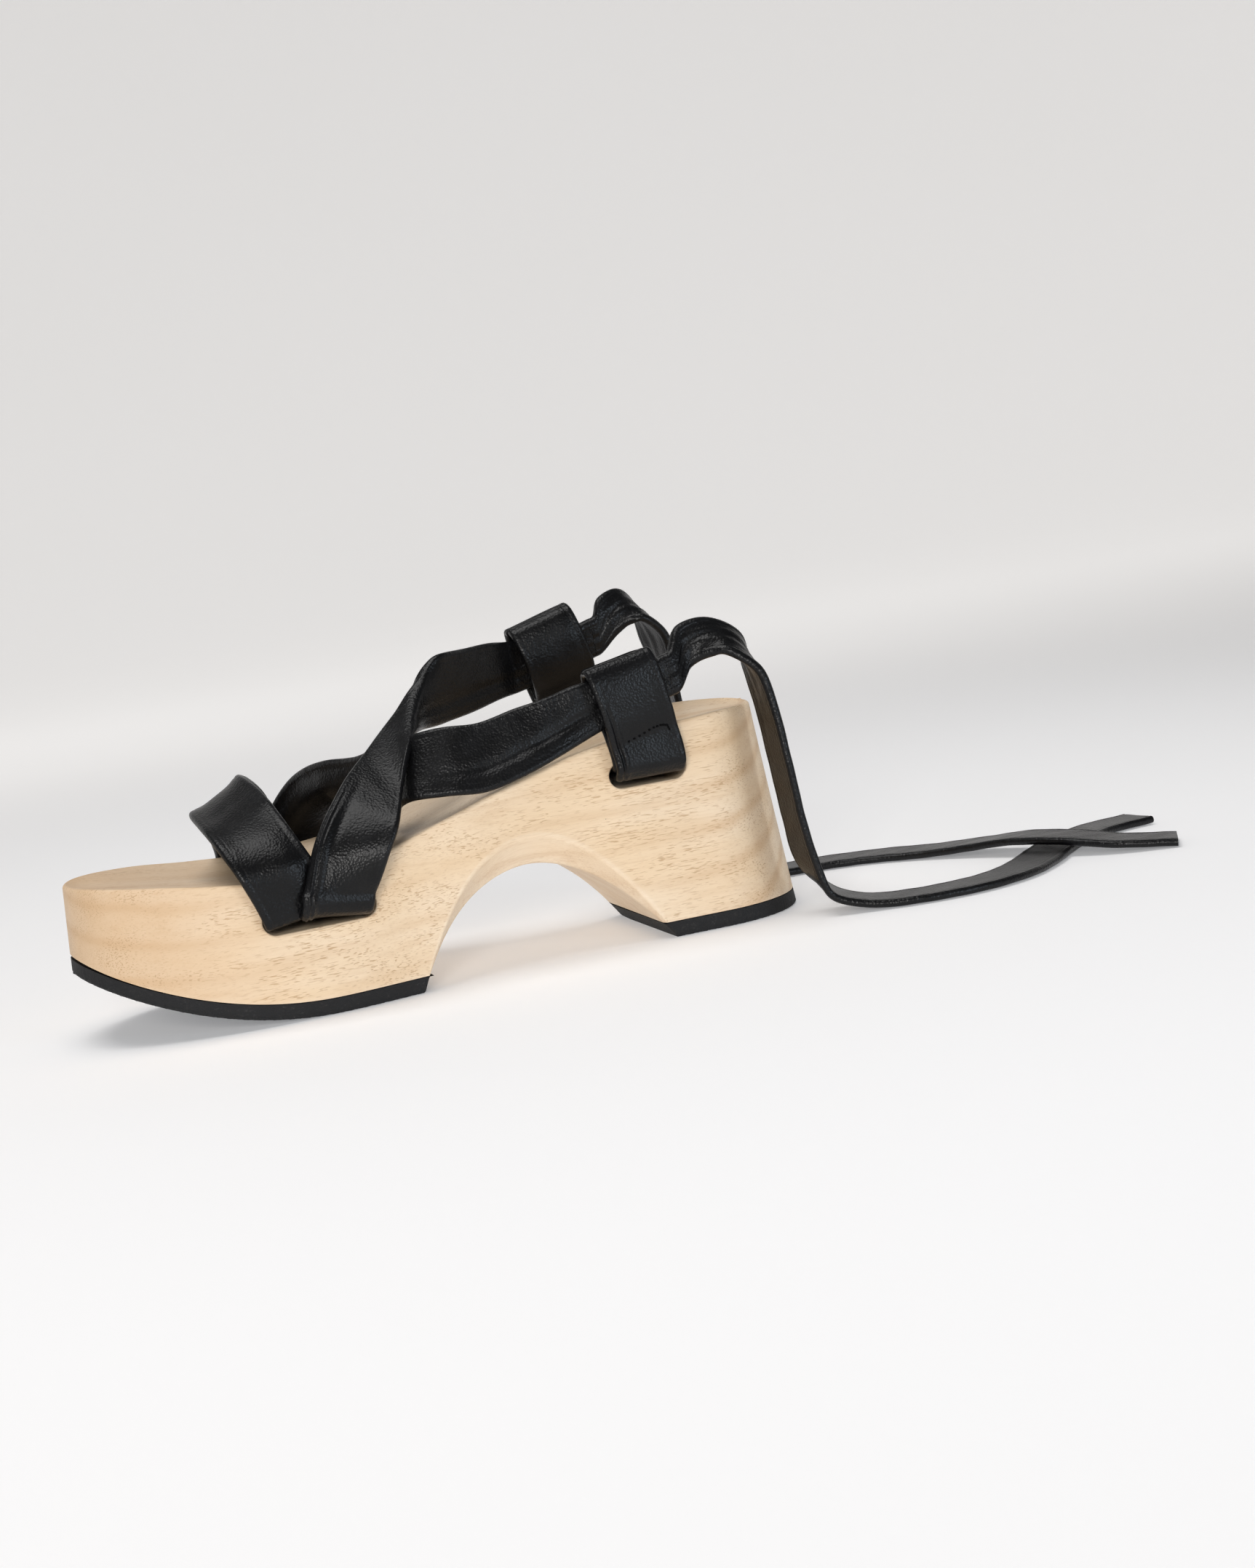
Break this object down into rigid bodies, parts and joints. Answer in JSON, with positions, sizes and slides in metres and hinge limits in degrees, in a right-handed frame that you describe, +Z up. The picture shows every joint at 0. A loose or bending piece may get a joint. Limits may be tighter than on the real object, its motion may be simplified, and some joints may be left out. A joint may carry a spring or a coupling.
{
  "type": "platform sandal",
  "caption": "Wooden platform sandal for the right foot: carved sole with an arched waist, band over the toes, crossed instep straps through heel loops, and loose ankle ties.",
  "frame": {"origin": "on the floor, under the middle of the shoe's length and width, its free ties left out", "axes": "+X from the toe to the heel, +Y to the outer side of the foot, +Z up"},
  "size_m": [0.3936, 0.1193, 0.1153],
  "materials": {
    "wood": "pale close-grained wood, sanded, thin clear satin finish",
    "sole_rubber": "matte black crepe-like rubber",
    "strap_leather": "soft black leather with a fine grain and a low sheen"
  },
  "bodies": {
    "root": {"platform": "wood", "forefoot_sole": "sole_rubber", "heel_lift": "sole_rubber", "straps": "strap_leather", "heel_keeper": "strap_leather", "tie_medial": "strap_leather", "tie_lateral": "strap_leather"}
  },
  "joints": []
}
